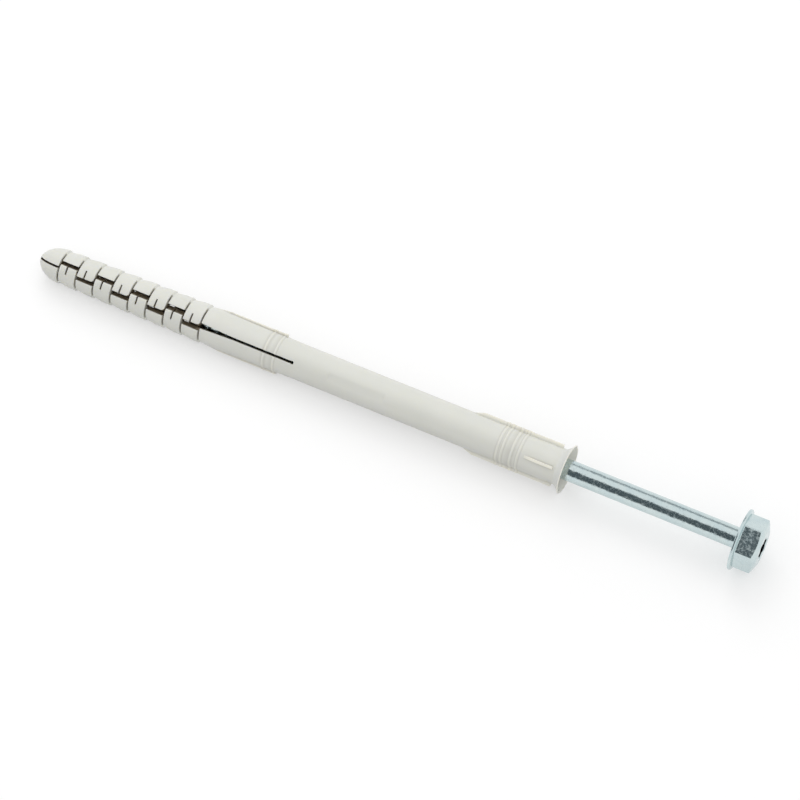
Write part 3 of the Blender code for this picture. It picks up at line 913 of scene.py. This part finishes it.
def make_thread():
    """Thread: a flat-topped profile carried along a helix, and faded out over its first and last turn.

    At angle a from the start, x = start + pitch a / 2 pi + along and the radius is core + up, where
    (along, up) goes over the profile: foot, knee, crest, crest, knee, foot, and a point in the core.
    """
    look = bpy.context.scene.screw_look
    turns = np.linspace(0, THREAD_TURNS, THREAD_TURNS * look.thread_sides + 1)[:, None]
    ramp = np.clip(np.minimum(turns, THREAD_TURNS - turns), 0, 1)
    height = THREAD_RADIUS - CORE_RADIUS
    half = THREAD_BASE / 2
    crest = look.thread_crest / 2
    knee = half * THREAD_KNEE_REACH
    bulge = height * THREAD_KNEE_HEIGHT
    along = np.array((-half, -knee, -crest, crest, knee, half, 0.0))[None, :]
    up = np.array((0.0, bulge, height, height, bulge, 0.0, -height / 2))[None, :]
    x = SCREW_TIP + THREAD_PITCH * (THREAD_LEAD_IN + turns) + half + along * ramp
    radius = core_radius(x) + up * ramp
    angle = 2 * math.pi * turns
    surface = Surface()
    surface.add(x, radius * np.sin(angle), radius * np.cos(angle))
    return surface.build("screw_thread", SCREW_TURN)


def new_material(name):
    """Empty node material and its Principled shader."""
    material = bpy.data.materials.new(name)
    material.use_nodes = True
    return material, material.node_tree.nodes["Principled BSDF"]


def add_node(owner, kind, inputs=None, **settings):
    """Node of a material or a world. Inputs maps a socket to a value, or to an output that feeds it."""
    tree = owner.node_tree
    node = tree.nodes.new(kind)
    for key, value in settings.items():
        setattr(node, key, value)
    for socket, value in (inputs or {}).items():
        if isinstance(value, bpy.types.NodeSocket):
            tree.links.new(value, node.inputs[socket])
        else:
            node.inputs[socket].default_value = value
    return node


def set_shader(material, shader, values):
    """Values and links of the shader's own sockets."""
    for socket, value in values.items():
        if isinstance(value, bpy.types.NodeSocket):
            material.node_tree.links.new(value, shader.inputs[socket])
        else:
            shader.inputs[socket].default_value = value


def nylon_material():
    """Polyamide 6, injection moulded in a spark-eroded mould: satin, off-white, a little cloudy."""
    look = bpy.context.scene.plug_look
    material, shader = new_material("nylon")
    place = add_node(material, "ShaderNodeTexCoord").outputs["Object"]
    # Flow of the melt: clouds about 12 mm long that shift the colour by a trace
    flow = {"Vector": place, "Scale": 1 / CLOUD_LENGTH, "Detail": 3.0}
    cloud = add_node(material, "ShaderNodeTexNoise", flow)
    clouds = {0: cloud.outputs["Fac"], 6: look.light, 7: look.cloudy}
    tint = add_node(material, "ShaderNodeMix", clouds, data_type="RGBA")
    # Painted highlight on the crests of ribs and rings and on the mouth's lip, and painted light on the
    # thin mouth: paler and creamy
    painted_light_share = add_node(material, "ShaderNodeAttribute", attribute_name="painted_light")
    crests = {0: painted_light_share.outputs["Fac"], 6: tint.outputs[2], 7: look.painted_light}
    pale = add_node(material, "ShaderNodeMix", crests, data_type="RGBA")
    # Painted shade: the slit, grooves, channel, mouth and bore, and the feet of ribs and rings, take on
    # a brown shade colour
    gap = add_node(material, "ShaderNodeAttribute", attribute_name="painted_shade")
    depths = {0: gap.outputs["Fac"], 6: pale.outputs[2], 7: look.shade}
    shade = add_node(material, "ShaderNodeMix", depths, data_type="RGBA")
    # Eroded mould face: a grain that takes the gloss off, drawn coarser than the real 0.05 mm to show
    pits = {"Vector": place, "Scale": 1 / look.grain, "Detail": 2.0}
    grain = add_node(material, "ShaderNodeTexNoise", pits)
    relief = {"Height": grain.outputs["Fac"], "Strength": 0.5, "Distance": GRAIN_DEPTH}
    bump = add_node(material, "ShaderNodeBump", relief)
    values = {
        "Base Color": shade.outputs[2],
        "Normal": bump.outputs["Normal"],
        "Roughness": 0.42,
        "Subsurface Weight": 0.4,
        "Subsurface Scale": 0.0012,
        "Subsurface Radius": (1.0, 0.95, 0.75),
    }
    set_shader(material, shader, values)
    return material


def zinc_material():
    """Cold-formed steel, zinc plated and blue passivated: bright, faintly blue, finely speckled."""
    look = bpy.context.scene.screw_look
    material, shader = new_material("zinc_plated_steel")
    place = add_node(material, "ShaderNodeTexCoord").outputs["Object"]
    # Passivation film: patches of about 3 mm between a pale and a blue grey
    thickness = {"Vector": place, "Scale": 1 / FILM_PATCH, "Detail": 4.0}
    film = add_node(material, "ShaderNodeTexNoise", thickness)
    patches = {0: film.outputs["Fac"], 6: look.blue, 7: look.pale}
    tint = add_node(material, "ShaderNodeMix", patches, data_type="RGBA")
    # Recess: painted shade darkens its wall and floor
    gap = add_node(material, "ShaderNodeAttribute", attribute_name="painted_shade")
    depths = {0: gap.outputs["Fac"], 6: tint.outputs[2], 7: look.recess_shade}
    shade = add_node(material, "ShaderNodeMix", depths, data_type="RGBA")
    # Dents from the plating barrel: they make mirrored edges waver
    knocks = {"Vector": place, "Scale": 1 / look.dent, "Detail": 1.0}
    dents = add_node(material, "ShaderNodeTexNoise", knocks)
    waves = {"Height": dents.outputs["Fac"], "Strength": 0.55, "Distance": ZINC_DEPTH}
    wave = add_node(material, "ShaderNodeBump", waves)
    # Zinc crystals: dull grains among bright ones, drawn coarser than the real 0.1 mm to show
    grains = {"Vector": place, "Scale": 1 / look.crystal, "Detail": 3.0}
    crystals = add_node(material, "ShaderNodeTexNoise", grains)
    relief = {
        "Height": crystals.outputs["Fac"],
        "Normal": wave.outputs["Normal"],
        "Strength": 0.15,
        "Distance": ZINC_DEPTH,
    }
    bump = add_node(material, "ShaderNodeBump", relief)
    dulling = {
        "Value": crystals.outputs["Fac"],
        "From Min": 0.46,
        "From Max": 0.66,
        "To Min": 0.15,
        "To Max": 0.34,
    }
    dull = add_node(material, "ShaderNodeMapRange", dulling)
    values = {
        "Base Color": shade.outputs[2],
        "Normal": bump.outputs["Normal"],
        "Roughness": dull.outputs["Result"],
        "Metallic": 1.0,
    }
    set_shader(material, shader, values)
    return material


def seen_directly(owner):
    """Share of 1 for rays that show a surface itself, in the camera, a reflection or clear glass."""
    path = add_node(owner, "ShaderNodeLightPath")
    seen = path.outputs["Is Camera Ray"]
    for name in ("Is Glossy Ray", "Is Transmission Ray"):
        either = {0: seen, 1: path.outputs[name]}
        seen = add_node(owner, "ShaderNodeMath", either, operation="MAXIMUM").outputs[0]
    return seen


def paper_material():
    """Uncoated white paper: matt. Its shadow is as pale as on a well lit table."""
    look = bpy.context.scene.studio_look
    material, shader = new_material("paper")
    seen = seen_directly(material)
    tones = {0: seen, 6: look.bounce, 7: look.paper}
    tone = add_node(material, "ShaderNodeMix", tones, data_type="RGBA")
    glow = add_node(material, "ShaderNodeMath", {0: seen, 1: look.paper_glow}, operation="MULTIPLY")
    values = {
        "Base Color": tone.outputs[2],
        "Emission Strength": glow.outputs[0],
        "Emission Color": linear("#FFFFFF"),
        "Roughness": 0.9,
        "Specular IOR Level": 0.0,
    }
    set_shader(material, shader, values)
    return material


def card_material(name, tone):
    """Dyed board: matt, a little paler than its dye in the room's light."""
    material, shader = new_material(name)
    set_shader(material, shader, {"Base Color": tone, "Roughness": 1.0, "Specular IOR Level": 0.0})
    return material


def add_object(name, data):
    """Object with its data in the scene."""
    made = bpy.data.objects.new(name, data)
    bpy.context.scene.collection.objects.link(made)
    return made


def add_plane(name, middle, along, up, material):
    """Flat rectangle: the points middle + s along + t up, with s and t from -1 to 1."""
    mesh = bpy.data.meshes.new(name)
    corners = [middle + s * along + t * up for s, t in ((-1, -1), (1, -1), (1, 1), (-1, 1))]
    mesh.from_pydata(corners, [], [(0, 1, 2, 3)])
    mesh.materials.append(material)
    made = add_object(name, mesh)
    return made


def add_camera():
    """Camera at the photograph's viewing angle."""
    azimuth = math.radians(CAMERA_AZIMUTH)
    elevation = math.radians(CAMERA_ELEVATION)
    level = math.cos(elevation)
    back = Vector((math.sin(azimuth) * level, -math.cos(azimuth) * level, math.sin(elevation)))
    right = Vector((math.cos(azimuth), math.sin(azimuth), 0.0))
    aim = Vector((0, 0, CAMERA_AIM_HEIGHT)) + right * CAMERA_AIM_RIGHT
    aim += back.cross(right) * CAMERA_AIM_UP
    camera = add_object("camera", bpy.data.cameras.new("camera"))
    camera.data.lens = CAMERA_LENS
    camera.data.clip_start = 0.01
    camera.location = aim + back * CAMERA_DISTANCE
    camera.rotation_euler = back.to_track_quat("Z", "Y").to_euler()
    bpy.context.scene.camera = camera


def add_window():
    """Soft lamp behind the fixing, hidden from reflections, so that no steel mirrors it as a spot."""
    look = bpy.context.scene.studio_look
    lamp = add_object("window", bpy.data.lights.new("window", "AREA"))
    lamp.data.shape = "SQUARE"
    lamp.data.size = look.window_size
    lamp.data.energy = look.window_power
    lamp.visible_glossy = False
    lamp.location = WINDOW_PLACE
    lamp.rotation_euler = lamp.location.to_track_quat("Z", "Y").to_euler()


def add_card(name, lean, width, tone):
    """Card that is seen only in the steel, where it draws one of the bands of a studio shot."""
    lean = math.radians(lean)
    facing = Vector((CARD_TURN, -math.sin(lean), math.cos(lean))).normalized()
    along = (Vector((1, 0, 0)) - facing * facing.x).normalized()
    half = along * bpy.context.scene.studio_look.card_length / 2
    middle = Vector(CARD_MIDDLE) + facing * CARD_AWAY
    card = add_plane(name, middle, half, facing.cross(along) * width / 2, card_material(name, tone))
    card.visible_camera = False
    card.visible_diffuse = False
    card.visible_shadow = False
    card.visible_transmission = False


def add_room():
    """World: even light from all sides, white wherever it is seen itself."""
    room = bpy.data.worlds.new("room")
    room.use_nodes = True
    levels = {0: seen_directly(room), 2: bpy.context.scene.studio_look.room_level, 3: 1.0}
    level = add_node(room, "ShaderNodeMix", levels)
    background = room.node_tree.nodes["Background"]
    background.inputs["Color"].default_value = linear("#FFFFFF")
    room.node_tree.links.new(level.outputs[0], background.inputs["Strength"])
    bpy.context.scene.world = room


def finish_piece(piece, node, material):
    """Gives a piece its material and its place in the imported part."""
    piece.data.materials.append(material)
    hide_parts(node)
    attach(piece, "root")


class FIXING_OT_plug(Operator):
    """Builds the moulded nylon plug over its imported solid"""

    bl_idname = "fixing.plug"
    bl_label = "Plug"

    def execute(self, context):
        finish_piece(make_plug(), "plug_sleeve", nylon_material())
        return {"FINISHED"}


class FIXING_OT_screw(Operator):
    """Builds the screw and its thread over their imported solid"""

    bl_idname = "fixing.screw"
    bl_label = "Screw and thread"

    def execute(self, context):
        zinc = zinc_material()
        for piece in (make_screw(), make_thread()):
            finish_piece(piece, "screw", zinc)
        return {"FINISHED"}


class FIXING_OT_stage(Operator):
    """Sets the paper, the room's light, the window, the two cards and the camera"""

    bl_idname = "fixing.stage"
    bl_label = "Stage"

    def execute(self, context):
        floor = Vector((0, 0, PAPER_LEVEL))
        along, away = Vector((PAPER_REACH, 0, 0)), Vector((0, PAPER_REACH, 0))
        add_plane("paper", floor, along, away, paper_material())
        add_window()
        look = context.scene.studio_look
        add_card("black_card", BLACK_CARD_LEAN, look.black_width, look.black)
        add_card("grey_card", GREY_CARD_LEAN, look.grey_width, look.grey)
        add_room()
        add_camera()
        context.scene.view_settings.view_transform = "Standard"
        return {"FINISHED"}


class FIXING_PT_sidebar(Panel):
    """Sidebar panel that lists the operators and the values that they read"""

    bl_label = "Frame Fixing"
    bl_idname = "FIXING_PT_sidebar"
    bl_space_type = "VIEW_3D"
    bl_region_type = "UI"
    bl_category = "Fixing"

    def draw(self, context):
        for operator, group in PARTS:
            column = self.layout.box().column()
            column.operator(operator)
            look = getattr(context.scene, group)
            for name in look.__annotations__:
                column.prop(look, name)


PARTS = (("fixing.plug", "plug_look"), ("fixing.screw", "screw_look"), ("fixing.stage", "studio_look"))
CLASSES = (
    PlugLook,
    ScrewLook,
    StudioLook,
    FIXING_OT_plug,
    FIXING_OT_screw,
    FIXING_OT_stage,
    FIXING_PT_sidebar,
)


def register():
    """Registers the classes and hangs the three groups of values on the scene."""
    for item in CLASSES:
        bpy.utils.register_class(item)
    bpy.types.Scene.plug_look = PointerProperty(type=PlugLook)
    bpy.types.Scene.screw_look = PointerProperty(type=ScrewLook)
    bpy.types.Scene.studio_look = PointerProperty(type=StudioLook)


def unregister():
    """Undoes register, in the opposite order."""
    del bpy.types.Scene.studio_look
    del bpy.types.Scene.screw_look
    del bpy.types.Scene.plug_look
    for item in reversed(CLASSES):
        bpy.utils.unregister_class(item)


def main():
    """Registers the classes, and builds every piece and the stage."""
    register()
    bpy.ops.fixing.plug()
    bpy.ops.fixing.screw()
    bpy.ops.fixing.stage()


if __name__ == "__main__":
    main()
